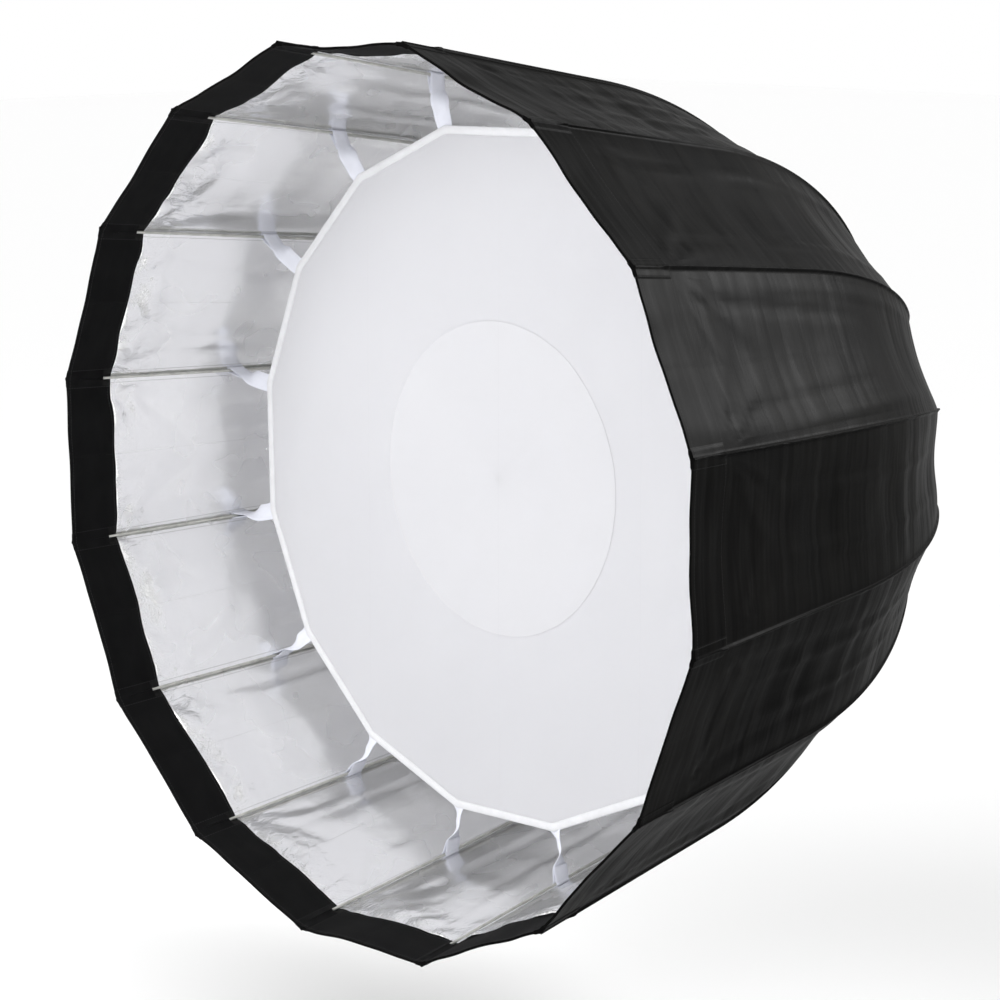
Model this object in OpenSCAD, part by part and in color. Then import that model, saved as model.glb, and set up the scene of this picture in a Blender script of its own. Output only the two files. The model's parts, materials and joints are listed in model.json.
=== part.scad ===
// Deep sixteen-rib umbrella softbox on a rotating bayonet mount.
// The optical axis is Y, the mouth faces -Y, +Z is up.
// The origin is the centre of the mount ring's rear face, where the light seats.

/* [Ribs] */
// Angle of the first rib from straight up, degrees
first_rib = 12.5; // [0:0.5:22]
// Diameter of a rib rod
rod_d = 5.5; // [4:0.5:7]
// Straight length of rib nearest the hub
root_len = 75; // [70:1:90]
// Angle of the rib from the optical axis at the hub
root_angle = 78; // [70:1:84]
// Bend radius of the tight bow behind
bow_back_r = 300; // [240:5:360]
// Angle from the axis where the tight bow meets the long bow
bow_join_angle = 38; // [34:1:44]
// Bend radius of the long bow
bow_side_r = 880; // [700:10:1000]
// Angle of the straight tip from the axis
tip_angle = 9.7; // [6:0.1:12]
// Length of the straight tip, up to the mouth
tip_len = 370; // [300:5:420]
// How far the rod stops short of the mouth
rod_inset = 22; // [15:1:40]

/* [Canopy] */
// Thickness of the sewn cloth and its lining
cloth_t = 1.6; // [1.2:0.1:2.4]
// Distance of the cloth behind the rib axis at the hub
cloth_gap_hub = 7.2; // [7:0.1:9]
// Distance of the cloth outside the rib axis at the mouth
cloth_gap_mouth = 3.8; // [3.6:0.1:6]
// Distance along the rib from its pin to the canopy's rear hem
hem_start = 27; // [24:1:34]

/* [Diffuser] */
// Depth of the inner diffuser behind the mouth
diffuser_depth = 270; // [200:5:320]
// Radius of the diffuser's corners
diffuser_r = 476; // [430:2:480]
// Thickness of the diffuser sheet
diffuser_t = 1.6; // [1:0.1:3]
// Radius of the dense centre patch
patch_r = 212; // [100:2:300]
// Thickness of the centre patch
patch_t = 1.2; // [0.8:0.1:2]
// Width of a strap
strap_w = 25; // [20:1:28]
// Thickness of a strap
strap_t = 1.4; // [1:0.1:2]

/* [Hub] */
// Radius of the pin circle
pin_circle_r = 105; // [104:1:108]
// Distance of the pins in front of the mount face
pin_plane = 24; // [23:0.5:26]
// Outer radius of the hub
hub_r = 120; // [119:1:122]
// Front face of the hub cover, in front of the mount face
hub_front = 37; // [36:0.5:40]
// Radius of the pins
pin_r = 2.5; // [2:0.1:3]
// Length of a pin
pin_len = 27; // [24:1:29]
// Width of a rib foot
foot_w = 15; // [13:0.5:15]
// Outer radius of the foot's barrel
foot_barrel_r = 6.5; // [6:0.1:7]
// Outer radius of the foot's socket
socket_r = 6; // [5:0.1:6]
// Length of the socket from the pin
socket_len = 55; // [45:1:60]
// Radius of the cover screws' shanks
screw_r = 2; // [1.5:0.1:2.5]
// Number of cover screws
screw_count = 8; // [4:4:16]
// Radius of the screw circle
screw_circle_r = 110; // [108:1:112]

/* [Mount ring] */
// Radius of the opening that the light shines through
mount_bore_r = 49; // [48:0.5:50]
// Outer radius of the neck that the hub turns on
neck_r = 62; // [60:0.5:63]
// Outer radius of the rear flange
flange_r = 76; // [74:1:78]
// Thickness of the rear flange
flange_t = 6; // [5:0.5:6]
// Front end of the neck, in front of the mount face
neck_front = 30; // [29:0.5:31]
// Height of the bayonet claws behind the mount face
claw_h = 9; // [7:0.5:11]
// Angle that one claw spans
claw_span = 34; // [24:1:40]

/* [Lock knob] */
// Radius of the knob's grip
knob_r = 8; // [7:0.5:8]
// Length of the knob's grip
knob_len = 20; // [16:1:24]
// Radius of the knob's screw
knob_screw_r = 3; // [2.5:0.1:3]

/* [Hidden] */
$fn = 96;
rib_count = 16;
rib_step = 360 / rib_count;
half_step = rib_step / 2;
// How far a cutter runs past what it cuts
cut = 1;
// Clearances of running fits and of faces that pass each other
run_gap = 0.05;
side_gap = 0.3;

// Rib axis, as [radius, y] at a distance or an angle along it
root_end = [pin_circle_r + root_len * sin(root_angle), -pin_plane - root_len * cos(root_angle)];
function bow_point(start, r, from, to) = [
  start[0] + r * (cos(to) - cos(from)),
  start[1] - r * (sin(from) - sin(to))
];
function back_bow(angle) = bow_point(root_end, bow_back_r, root_angle, angle);
join_point = back_bow(bow_join_angle);
function side_bow(angle) = bow_point(join_point, bow_side_r, bow_join_angle, angle);
tip_start = side_bow(tip_angle);
function root_point(s) = [pin_circle_r + s * sin(root_angle), -pin_plane - s * cos(root_angle)];
function tip_point(s) = [tip_start[0] + s * sin(tip_angle), tip_start[1] - s * cos(tip_angle)];
mouth_y = tip_point(tip_len)[1];
diffuser_y = mouth_y + diffuser_depth;
strap_s = tip_len - diffuser_depth / cos(tip_angle);
strap_point = tip_point(strap_s);

// Stations along the rib: [radius, y, angle from the axis, share of the way to the mouth]
back_steps = 8;
side_steps = 6;
tip_steps = 3;
function bow_angle(from, to, i, steps) = from + (to - from) * i / steps;
function bow_stations() = [
  for (i = [0 : back_steps])
    let (a = bow_angle(root_angle, bow_join_angle, i, back_steps))
      [back_bow(a)[0], back_bow(a)[1], a],
  for (i = [1 : side_steps])
    let (a = bow_angle(bow_join_angle, tip_angle, i, side_steps))
      [side_bow(a)[0], side_bow(a)[1], a]
];
function root_station(s) = [root_point(s)[0], root_point(s)[1], root_angle];
function tip_station(s) = [tip_point(s)[0], tip_point(s)[1], tip_angle];
function rod_stations() = concat(
  [root_station(socket_floor)], bow_stations(), [tip_station(tip_len - rod_inset)]
);
function cloth_stations() = concat(
  [root_station(hem_start)],
  bow_stations(),
  [for (i = [1 : tip_steps]) tip_station(tip_len * i / tip_steps)]
);
socket_floor = 16;

// A point beside a station, on the side away from the mouth's axis
function beside(st, gap) = [st[0] + gap * cos(st[2]), st[1] + gap * sin(st[2])];
function gap_at(st) =
  cloth_gap_hub + (cloth_gap_mouth - cloth_gap_hub) * (st[1] + pin_plane) / (mouth_y + pin_plane);

module at_rib(k) {
  rotate([0, -(90 + first_rib + rib_step * (k - 1)), 0]) children();
}

module along_axis(y) {
  rotate([-90, 0, 0]) translate([0, 0, y]) children();
}

module ring(r_in, r_out, y_low, y_high) {
  along_axis(y_low)
    difference() {
      cylinder(r = r_out, h = y_high - y_low);
      translate([0, 0, -cut]) cylinder(r = r_in, h = y_high - y_low + 2 * cut);
    }
}

module tangent_cylinder(r, h) {
  translate([pin_circle_r, -pin_plane, 0]) cylinder(r = r, h = h, center = true);
}

// Points along the rib's root, measured from the pin
module along_root() {
  translate([pin_circle_r, -pin_plane, 0]) rotate([0, 0, root_angle - 90]) rotate([0, 90, 0]) children();
}

// Mount ring: neck, flange and three hooked bayonet claws
claw_count = 3;
claw_r_in = 55;
claw_r_out = 61;
claw_lip = 4;
claw_lip_t = 3;
module claw() {
  rotate([-90, 0, 0])
    rotate([0, 0, -claw_span / 2])
      rotate_extrude(angle = claw_span)
        polygon([
          [claw_r_in, 0], [claw_r_out, 0], [claw_r_out, claw_h],
          [claw_r_in - claw_lip, claw_h], [claw_r_in - claw_lip, claw_h - claw_lip_t],
          [claw_r_in, claw_h - claw_lip_t]
        ]);
}

seat_r = 58;
seat_y = pin_plane + side_gap;
module mount_ring() {
  color("silver") {
    rotate([-90, 0, 0])
      rotate_extrude()
        polygon([
          [mount_bore_r, -neck_front], [seat_r, -neck_front], [seat_r, -seat_y], [neck_r, -seat_y],
          [neck_r, -flange_t], [flange_r, -flange_t], [flange_r, 0], [mount_bore_r, 0]
        ]);
    for (i = [0 : claw_count - 1]) rotate([0, 90 + 360 * i / claw_count, 0]) claw();
  }
}

ring_r = 66;
module retaining_ring() {
  color("dimgray") ring(seat_r + run_gap, ring_r, -neck_front, -seat_y);
}

// Slots for the feet and half grooves for the pins
slot_room = 1.5;
slot_in = pin_circle_r - foot_barrel_r - slot_room;
module foot_slots() {
  for (k = [1 : rib_count])
    at_rib(k) {
      translate([slot_in, -hub_front - cut, -foot_w / 2 - side_gap])
        cube([hub_r, hub_front + cut, foot_w + 2 * side_gap]);
      tangent_cylinder(pin_r, pin_len);
    }
}

// Screws and knob sit halfway between two ribs
first_screw = 1.5;
module screw_places() {
  for (i = [0 : screw_count - 1])
    at_rib(first_screw + i * rib_count / screw_count) translate([screw_circle_r, 0, 0]) children();
}

hub_back = flange_t + side_gap;
screw_tip = 17;
knob_y = 11.5;
knob_rib = 12.5;
module knob_place() {
  at_rib(knob_rib) translate([0, -knob_y, 0]) rotate([0, 90, 0]) children();
}

module hub_plate() {
  color("darkgray")
    difference() {
      ring(neck_r + run_gap, hub_r, -pin_plane, -hub_back);
      foot_slots();
      screw_places() along_axis(-pin_plane - cut) cylinder(r = screw_r, h = pin_plane + cut - screw_tip);
      knob_place() cylinder(r = knob_screw_r + run_gap, h = hub_r + cut);
    }
}

cover_r_in = 68;
screw_slack = 0.2;
module hub_cover() {
  color("dimgray")
    difference() {
      ring(cover_r_in, hub_r, -hub_front, -pin_plane);
      foot_slots();
      screw_places() along_axis(-hub_front - cut) cylinder(r = screw_r + screw_slack, h = hub_front);
    }
}

module hinge_pins() {
  color("silver")
    for (k = [1 : rib_count]) at_rib(k) tangent_cylinder(pin_r, pin_len);
}

head_r = 3.8;
head_t = 2.4;
socket_flats = 1.3;
socket_depth = 1.4;
module cover_screws() {
  color("black")
    screw_places()
      difference() {
        union() {
          along_axis(-hub_front) cylinder(r = screw_r, h = hub_front - screw_tip);
          along_axis(-hub_front - head_t) cylinder(r = head_r, h = head_t);
        }
        along_axis(-hub_front - head_t - cut) cylinder(r = socket_flats, h = socket_depth + cut, $fn = 6);
      }
}

knob_gap = 3;
knob_lobes = 6;
lobe_r = 2;
module lock_knob() {
  color("black")
    knob_place() {
      translate([0, 0, neck_r + side_gap]) cylinder(r = knob_screw_r, h = hub_r + knob_gap - neck_r);
      difference() {
        translate([0, 0, hub_r + knob_gap]) cylinder(r = knob_r, h = knob_len);
        for (i = [0 : knob_lobes - 1])
          rotate([0, 0, i * 360 / knob_lobes])
            translate([knob_r + lobe_r / 2, 0, hub_r + knob_gap - cut])
              cylinder(r = lobe_r, h = knob_len + 2 * cut);
      }
    }
}

// Rib foot: pivot barrel and rod socket
module rib_foot(k) {
  color("dimgray")
    at_rib(k)
      difference() {
        union() {
          tangent_cylinder(foot_barrel_r, foot_w);
          along_root() cylinder(r = socket_r, h = socket_len);
        }
        tangent_cylinder(pin_r + run_gap, foot_w + 2 * cut);
        along_root() translate([0, 0, socket_floor]) cylinder(r = rod_d / 2 + run_gap, h = socket_len);
      }
}

// Rib rod: one tube swept along the stations
rod_sides = 10;
module rib_rod(k) {
  st = rod_stations();
  n = len(st);
  points = [
    for (p = st, i = [0 : rod_sides - 1])
      let (a = 360 * i / rod_sides, q = beside(p, rod_d / 2 * cos(a)))
        [q[0], q[1], rod_d / 2 * sin(a)]
  ];
  sides = [
    for (j = [0 : n - 2], i = [0 : rod_sides - 1])
      let (m = (i + 1) % rod_sides)
        [j * rod_sides + i, j * rod_sides + m, (j + 1) * rod_sides + m, (j + 1) * rod_sides + i]
  ];
  ends = [
    [for (i = [rod_sides - 1 : -1 : 0]) i],
    [for (i = [0 : rod_sides - 1]) (n - 1) * rod_sides + i]
  ];
  color("gainsboro") at_rib(k) polyhedron(points = points, faces = concat(sides, ends), convexity = 6);
}

// Canopy gore: the cloth from the middle of one panel, over its rib, to the middle of the next
seam_gap = 0.15;
function gore_row(st, gap) =
  let (q = beside(st, gap), half = q[0] * sin(half_step) * cos(half_step) - seam_gap,
       mid = q[0] * pow(cos(half_step), 2))
    [[mid, q[1], -half], [q[0], q[1], 0], [mid, q[1], half]];
module canopy_gore(k) {
  st = cloth_stations();
  n = len(st);
  points = [
    for (p = st) each concat(gore_row(p, gap_at(p)), gore_row(p, gap_at(p) + cloth_t))
  ];
  inner = [
    for (j = [0 : n - 2], i = [0 : 1])
      let (a = 6 * j + i) [a, a + 6, a + 7, a + 1]
  ];
  outer = [
    for (j = [0 : n - 2], i = [0 : 1])
      let (a = 6 * j + 3 + i) [a, a + 1, a + 7, a + 6]
  ];
  edges = [
    for (j = [0 : n - 2]) each
      [[6 * j, 6 * j + 3, 6 * j + 9, 6 * j + 6], [6 * j + 2, 6 * j + 8, 6 * j + 11, 6 * j + 5]]
  ];
  last = 6 * (n - 1);
  hems = [
    [0, 1, 4, 3], [1, 2, 5, 4],
    [last, last + 3, last + 4, last + 1], [last + 1, last + 4, last + 5, last + 2]
  ];
  color([0.1, 0.1, 0.1])
    at_rib(k) polyhedron(points = points, faces = concat(inner, outer, edges, hems), convexity = 6);
}

// Inner diffuser, its centre patch and its straps
function corner_ring(r) = [
  for (k = [0 : rib_count - 1])
    let (a = first_rib + rib_step * k) [-r * sin(a), -r * cos(a)]
];
module inner_diffuser() {
  color("white") along_axis(diffuser_y) linear_extrude(diffuser_t) polygon(corner_ring(diffuser_r));
}

module centre_patch() {
  color("ghostwhite") along_axis(diffuser_y - patch_t) cylinder(r = patch_r, h = patch_t);
}

// Slack round the rod, and how much shorter than the strap's width its loop is at each side
loop_gap = 0.5;
loop_inset = 1;
loop_r_in = rod_d / 2 + loop_gap;
strap_start = diffuser_r + side_gap;
module strap_loop_axis() {
  translate([strap_point[0], strap_point[1], 0]) rotate([0, 0, tip_angle]) rotate([90, 0, 0]) children();
}
module diffuser_straps() {
  color("white")
    for (k = [1 : rib_count])
      at_rib(k)
        difference() {
          union() {
            translate([strap_start, diffuser_y - strap_w / 2, -strap_t / 2])
              cube([strap_point[0] - strap_start, strap_w, strap_t]);
            strap_loop_axis() cylinder(r = loop_r_in + strap_t, h = strap_w - 2 * loop_inset, center = true);
          }
          strap_loop_axis() cylinder(r = loop_r_in, h = 2 * strap_w, center = true);
          translate([strap_point[0] + loop_r_in, diffuser_y - strap_w, -strap_w])
            cube(2 * strap_w);
        }
}

mount_ring();
retaining_ring();
hub_plate();
hub_cover();
hinge_pins();
cover_screws();
lock_knob();
inner_diffuser();
centre_patch();
diffuser_straps();
rib_foot(1);  // rib_foot_01
rib_foot(2);  // rib_foot_02
rib_foot(3);  // rib_foot_03
rib_foot(4);  // rib_foot_04
rib_foot(5);  // rib_foot_05
rib_foot(6);  // rib_foot_06
rib_foot(7);  // rib_foot_07
rib_foot(8);  // rib_foot_08
rib_foot(9);  // rib_foot_09
rib_foot(10);  // rib_foot_10
rib_foot(11);  // rib_foot_11
rib_foot(12);  // rib_foot_12
rib_foot(13);  // rib_foot_13
rib_foot(14);  // rib_foot_14
rib_foot(15);  // rib_foot_15
rib_foot(16);  // rib_foot_16
rib_rod(1);  // rib_rod_01
rib_rod(2);  // rib_rod_02
rib_rod(3);  // rib_rod_03
rib_rod(4);  // rib_rod_04
rib_rod(5);  // rib_rod_05
rib_rod(6);  // rib_rod_06
rib_rod(7);  // rib_rod_07
rib_rod(8);  // rib_rod_08
rib_rod(9);  // rib_rod_09
rib_rod(10);  // rib_rod_10
rib_rod(11);  // rib_rod_11
rib_rod(12);  // rib_rod_12
rib_rod(13);  // rib_rod_13
rib_rod(14);  // rib_rod_14
rib_rod(15);  // rib_rod_15
rib_rod(16);  // rib_rod_16
canopy_gore(1);  // canopy_gore_01
canopy_gore(2);  // canopy_gore_02
canopy_gore(3);  // canopy_gore_03
canopy_gore(4);  // canopy_gore_04
canopy_gore(5);  // canopy_gore_05
canopy_gore(6);  // canopy_gore_06
canopy_gore(7);  // canopy_gore_07
canopy_gore(8);  // canopy_gore_08
canopy_gore(9);  // canopy_gore_09
canopy_gore(10);  // canopy_gore_10
canopy_gore(11);  // canopy_gore_11
canopy_gore(12);  // canopy_gore_12
canopy_gore(13);  // canopy_gore_13
canopy_gore(14);  // canopy_gore_14
canopy_gore(15);  // canopy_gore_15
canopy_gore(16);  // canopy_gore_16
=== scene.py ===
import json
import math

import bpy
import numpy as np
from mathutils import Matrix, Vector, noise


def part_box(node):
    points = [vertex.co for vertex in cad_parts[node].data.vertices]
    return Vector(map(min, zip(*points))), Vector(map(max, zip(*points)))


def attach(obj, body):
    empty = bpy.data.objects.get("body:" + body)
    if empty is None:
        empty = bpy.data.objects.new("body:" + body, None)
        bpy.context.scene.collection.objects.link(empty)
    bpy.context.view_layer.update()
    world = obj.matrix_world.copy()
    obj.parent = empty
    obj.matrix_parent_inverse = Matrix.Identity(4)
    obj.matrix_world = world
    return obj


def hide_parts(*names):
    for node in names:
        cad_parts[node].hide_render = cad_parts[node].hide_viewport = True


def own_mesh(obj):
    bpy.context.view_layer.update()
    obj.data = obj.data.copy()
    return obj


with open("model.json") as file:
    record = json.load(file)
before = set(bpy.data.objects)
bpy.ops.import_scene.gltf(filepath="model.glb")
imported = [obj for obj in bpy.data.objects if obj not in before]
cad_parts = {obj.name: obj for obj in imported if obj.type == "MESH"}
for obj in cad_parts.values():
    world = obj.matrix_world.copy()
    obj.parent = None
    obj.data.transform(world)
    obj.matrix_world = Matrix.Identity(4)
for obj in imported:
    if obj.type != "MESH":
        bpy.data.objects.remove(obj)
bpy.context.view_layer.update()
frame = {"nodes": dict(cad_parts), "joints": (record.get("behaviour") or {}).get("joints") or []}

# The visual model of a sixteen-rib softbox: canopy, rods, inner diffuser and straps on the CAD hub.
# Sizes in metres, angles in radians. The frame gives the pins, the mouth and the diffuser's plane.
AXIS = np.array([0, 1, 0])
RIBS = 16
STEP = 2 * math.pi / RIBS
HALF = STEP / 2

# A rib's line: straight root, tight bend, wide bend, straight tip. Angles are from the optical axis.
ROOT_LEN = 0.075
ROOT_ANGLE = math.radians(78)
BACK_R = 0.300
JOIN_ANGLE = math.radians(38)
SIDE_R = 0.880
TIP_ANGLE = math.radians(9.7)
TIP_LEN = 0.370
BACK_LEN = BACK_R * (ROOT_ANGLE - JOIN_ANGLE)
SIDE_LEN = SIDE_R * (JOIN_ANGLE - TIP_ANGLE)
LENGTH = ROOT_LEN + BACK_LEN + SIDE_LEN + TIP_LEN

# The rod, and the rounded cap on its tip, which stops short of the mouth by the inset
ROD_R = 0.00275
ROD_TIP_R = 0.0019
CAP_R = 0.0025
CAP_LEN = 0.014
ROD_INSET = 0.022
SOCKET_FLOOR = 0.016
ROD_SIDES = 14
ROD_STATIONS = 76
CAP_STEP = 0.0003
CAP_PLACES = np.array([0.0, 0.7, 0.85, 0.94, 0.985, 1.0])
CAP_WIDTHS = np.array([1.0, 1.0, 0.93, 0.75, 0.48, 0.18])

# The cloth: its thickness, its gap over the rib's line, and where its hem and its lip start along the rib
CLOTH_T = 0.0016
GAP_HUB = 0.0072
GAP_MOUTH = 0.0038
HEM_START = 0.027
LIP = 0.069
LIP_START = LENGTH - LIP

joints = {j["name"]: j for j in frame["joints"]}
pin = joints["fold_01"]["pos_m"]
PIN_R = math.hypot(pin[0], pin[2])
PIN_Y = pin[1]
FIRST = math.atan2(-pin[0], pin[2])
MOUTH_Y = float(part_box("canopy_gore_01")[0][1])
DIFFUSER_FRONT = float(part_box("inner_diffuser")[0][1])


# ---------------------------------------------------------------- camera, light and floor
FLOOR_Z = -0.78
FLOOR_SIZE = 40


def add_camera():
    """The main view: from the mouth's side, a little above."""
    azimuth, elevation, distance = math.radians(44.9), math.radians(10.4), 3.76
    target = Vector((0.2715, -0.907, 0.0427))
    back = Vector((
        math.sin(azimuth) * math.cos(elevation),
        -math.cos(azimuth) * math.cos(elevation),
        math.sin(elevation),
    ))
    data = bpy.data.cameras.new("camera")
    data.lens = 112.1
    data.sensor_width = 36
    data.clip_end = 60
    camera = bpy.data.objects.new("camera", data)
    camera.location = target + distance * back
    camera.rotation_euler = back.to_track_quat("Z", "Y").to_euler()
    bpy.context.collection.objects.link(camera)
    bpy.context.scene.camera = camera


def add_area(name, place, size, power, target=(0, -0.5, 0), spread=180):
    """A square lamp that faces the target. Its light stays within the spread, in degrees."""
    data = bpy.data.lights.new(name, "AREA")
    data.energy = power
    data.size = size
    data.spread = math.radians(spread)
    lamp = bpy.data.objects.new(name, data)
    lamp.location = place
    way = Vector(place) - Vector(target)
    lamp.rotation_euler = way.to_track_quat("Z", "Y").to_euler()
    bpy.context.collection.objects.link(lamp)


def add_stage():
    """A plain pale floor under the object, and white studio light."""
    bpy.ops.mesh.primitive_plane_add(size=FLOOR_SIZE, location=(0, 0, FLOOR_Z))
    floor = bpy.context.object
    floor.name = "floor"
    paint = bpy.data.materials.new("floor_paint")
    paint.use_nodes = True
    shader = paint.node_tree.nodes["Principled BSDF"]
    shader.inputs["Base Color"].default_value = (0.985, 0.985, 0.985, 1)
    shader.inputs["Roughness"].default_value = 0.8
    floor.data.materials.append(paint)
    world = bpy.data.worlds.new("studio")
    world.use_nodes = True
    world.node_tree.nodes["Background"].inputs["Color"].default_value = (1, 1, 1, 1)
    world.node_tree.nodes["Background"].inputs["Strength"].default_value = 1.0
    bpy.context.scene.world = world
    bpy.context.scene.view_settings.view_transform = "Standard"
    add_area("key", (-1.4, -3.8, 1.6), 1.8, 68)
    add_area("edge", (1.1, 0.7, 1.05), 0.9, 18, (0.45, -0.5, 0.35), 70)


# ---------------------------------------------------------------- material helpers
class Nodes:
    """A small builder for node materials."""

    def __init__(self, name, colour, roughness, metallic=0.0, **sockets):
        self.material = bpy.data.materials.new(name)
        self.material.use_nodes = True
        self.tree = self.material.node_tree
        self.shader = self.tree.nodes["Principled BSDF"]
        self.shader.inputs["Base Color"].default_value = (*colour, 1)
        self.shader.inputs["Roughness"].default_value = roughness
        self.shader.inputs["Metallic"].default_value = metallic
        for socket, value in sockets.items():
            self.shader.inputs[socket.replace("_", " ")].default_value = value

    def feed(self, socket, value):
        """Links another node's output to the socket, or sets a plain value on it."""
        if isinstance(value, bpy.types.NodeSocket):
            self.tree.links.new(value, socket)
        else:
            socket.default_value = value

    def node(self, kind, **values):
        made = self.tree.nodes.new(kind)
        for name, value in values.items():
            self.feed(made.inputs[name], value)
        return made

    def math(self, operation, a, b=0.0, c=0.0):
        made = self.tree.nodes.new("ShaderNodeMath")
        made.operation = operation
        for socket, value in zip(made.inputs, (a, b, c)):
            self.feed(socket, value)
        return made.outputs[0]

    def object_point(self):
        return self.tree.nodes.new("ShaderNodeTexCoord").outputs["Object"]

    def cloth_point(self):
        """The sewing pattern's own coordinates in metres: across from the rib, and along it."""
        return self.uv("cloth")

    def panel_point(self):
        """Coordinates in metres that run on over a rib: across from the panel's middle, and along it."""
        return self.uv("panel")

    def uv(self, name):
        made = self.tree.nodes.new("ShaderNodeUVMap")
        made.uv_map = name
        return made.outputs["UV"]

    def split(self, vector):
        return self.node("ShaderNodeSeparateXYZ", Vector=vector).outputs

    def scaled(self, vector, scale):
        made = self.node("ShaderNodeMapping", Vector=vector)
        made.inputs["Scale"].default_value = scale
        return made.outputs["Vector"]

    def noise(self, vector, scale, detail=3.0, rough=0.55, distortion=0.0):
        made = self.node("ShaderNodeTexNoise", Vector=vector, Scale=scale, Detail=detail)
        made.inputs["Roughness"].default_value = rough
        made.inputs["Distortion"].default_value = distortion
        return made.outputs["Fac"]

    def ramp(self, value, low, high, out_low=0.0, out_high=1.0):
        """Turns the range from low to high into the range from out_low to out_high, clamped at both ends."""
        made = self.node("ShaderNodeMapRange", Value=value)
        made.inputs["From Min"].default_value = low
        made.inputs["From Max"].default_value = high
        made.inputs["To Min"].default_value = out_low
        made.inputs["To Max"].default_value = out_high
        return made.outputs["Result"]

    def mix(self, share, first, second):
        """Mixes two colours, by the share of the second."""
        made = self.tree.nodes.new("ShaderNodeMix")
        made.data_type = "RGBA"
        self.feed(made.inputs[0], share)
        for socket, colour in ((made.inputs[6], first), (made.inputs[7], second)):
            self.feed(socket, (*colour, 1) if isinstance(colour, tuple) else colour)
        return made.outputs[2]

    def weave(self, vector, pitch):
        """Height of a plain weave, from 0 to 1, with the given thread pitch."""
        parts = self.split(vector)
        turn = 2 * math.pi / pitch
        warp = self.math("SINE", self.math("MULTIPLY", parts[0], turn))
        weft = self.math("SINE", self.math("MULTIPLY", parts[1], turn))
        return self.math("MULTIPLY_ADD", self.math("MULTIPLY", warp, weft), 0.5, 0.5)

    def line(self, value, place, width):
        """1 on a line at the given place, 0 away from it."""
        away = self.math("ABSOLUTE", self.math("SUBTRACT", value, place))
        return self.math("LESS_THAN", away, width / 2)

    def stitches(self, across, along, place, width=0.0009, pitch=0.004, thread_share=0.68):
        """1 on the threads of a stitch line, 0 in its gaps and away from it."""
        on_line = self.line(across, place, width)
        phase = self.math("FRACT", self.math("DIVIDE", along, pitch))
        return self.math("MULTIPLY", on_line, self.math("LESS_THAN", phase, thread_share))

    def colour(self, value):
        self.tree.links.new(value, self.shader.inputs["Base Color"])

    def roughness(self, value):
        self.tree.links.new(value, self.shader.inputs["Roughness"])

    def translucent(self, share, colour):
        """Lets this share of the light through, scattered."""
        glow = self.node("ShaderNodeBsdfTranslucent", Color=(*colour, 1))
        both = self.tree.nodes.new("ShaderNodeMixShader")
        both.inputs[0].default_value = share
        self.tree.links.new(self.shader.outputs[0], both.inputs[1])
        self.tree.links.new(glow.outputs[0], both.inputs[2])
        self.tree.links.new(both.outputs[0], self.tree.nodes["Material Output"].inputs["Surface"])

    def bump(self, *layers):
        """Stacks bump layers, each a height, a strength and a distance in metres."""
        below = None
        for height, strength, distance in layers:
            made = self.node("ShaderNodeBump", Height=height, Strength=strength, Distance=distance)
            if below is not None:
                self.tree.links.new(below, made.inputs["Normal"])
            below = made.outputs["Normal"]
        self.tree.links.new(below, self.shader.inputs["Normal"])


# ---------------------------------------------------------------- materials
# Distances of the sewing lines from the rib, and the tab sewn over each rod where it enters the lip
SEAM_STITCH = 0.0115
POCKET_STITCH = 0.0132
LINING_STITCH = 0.0085
TAB_HALF_W = 0.012
TAB_END = LIP_START + 0.01325

# Thread pitches of the weaves, and how far the diffuser's packing creases are from its middle
SHELL_WEAVE = 0.0011
LINING_WEAVE = 0.0012
SHEET_WEAVE = 0.0014
TAPE_RIB = 0.0013
PACKING_CREASE = 0.255


def shell_cloth():
    """Black nylon with a slight sheen, pulled into fine folds across the ribs. The tops of the raised folds
    are painted lighter as a painted sheen.
    """
    m = Nodes("shell_cloth", (0.003, 0.003, 0.003), 0.45)
    m.shader.inputs["Specular IOR Level"].default_value = 0.009
    point, cloth, panel = m.object_point(), m.cloth_point(), m.panel_point()
    across, along = m.split(cloth)[0], m.split(cloth)[1]
    side = m.math("ABSOLUTE", across)
    cloud = m.noise(point, 5.0, 3.0)
    pulled = m.noise(m.scaled(panel, (4.5, 38, 1)), 1.0, 2.0, 0.45, 0.15)
    fine = m.noise(m.scaled(panel, (7, 95, 1)), 1.0, 2.0, 0.5, 0.1)
    tight = m.math("MULTIPLY", m.ramp(along, 0.75, 0.35), m.ramp(cloud, 0.38, 0.62))
    slack = m.noise(m.scaled(panel, (10, 17, 1)), 1.0, 2.0, 0.5, 0.6)
    slack = m.math("MULTIPLY", slack, m.ramp(cloud, 0.45, 0.65))
    beside_pocket = m.math(
        "MULTIPLY", m.stitches(side, along, SEAM_STITCH), m.ramp(along, LIP_START, LIP_START + 0.001)
    )
    lip_edge = m.stitches(along, across, LIP_START)
    mouth_hem = m.stitches(along, across, LENGTH - 0.006)
    thread = m.math("MAXIMUM", beside_pocket, m.math("MAXIMUM", lip_edge, mouth_hem))
    base = m.mix(m.ramp(cloud, 0.35, 0.7), (0.0018, 0.0018, 0.0018), (0.0032, 0.0031, 0.0029))
    # Painted sheen: where the pulled folds stand highest, the black is painted lighter.
    base = m.mix(m.ramp(pulled, 0.5, 0.75, 0.0, 0.35), base, (0.0050, 0.0048, 0.0044))
    m.colour(m.mix(thread, base, (0.011, 0.011, 0.011)))
    m.roughness(m.ramp(pulled, 0.3, 0.7, 0.38, 0.50))
    m.bump(
        (pulled, 0.5, 0.0045),
        (m.math("MULTIPLY", fine, tight), 0.55, 0.0022),
        (slack, 0.4, 0.0035),
        (thread, 0.5, 0.0004),
        (m.weave(cloth, SHELL_WEAVE), 0.12, 0.0002),
    )
    return m.material


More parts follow.
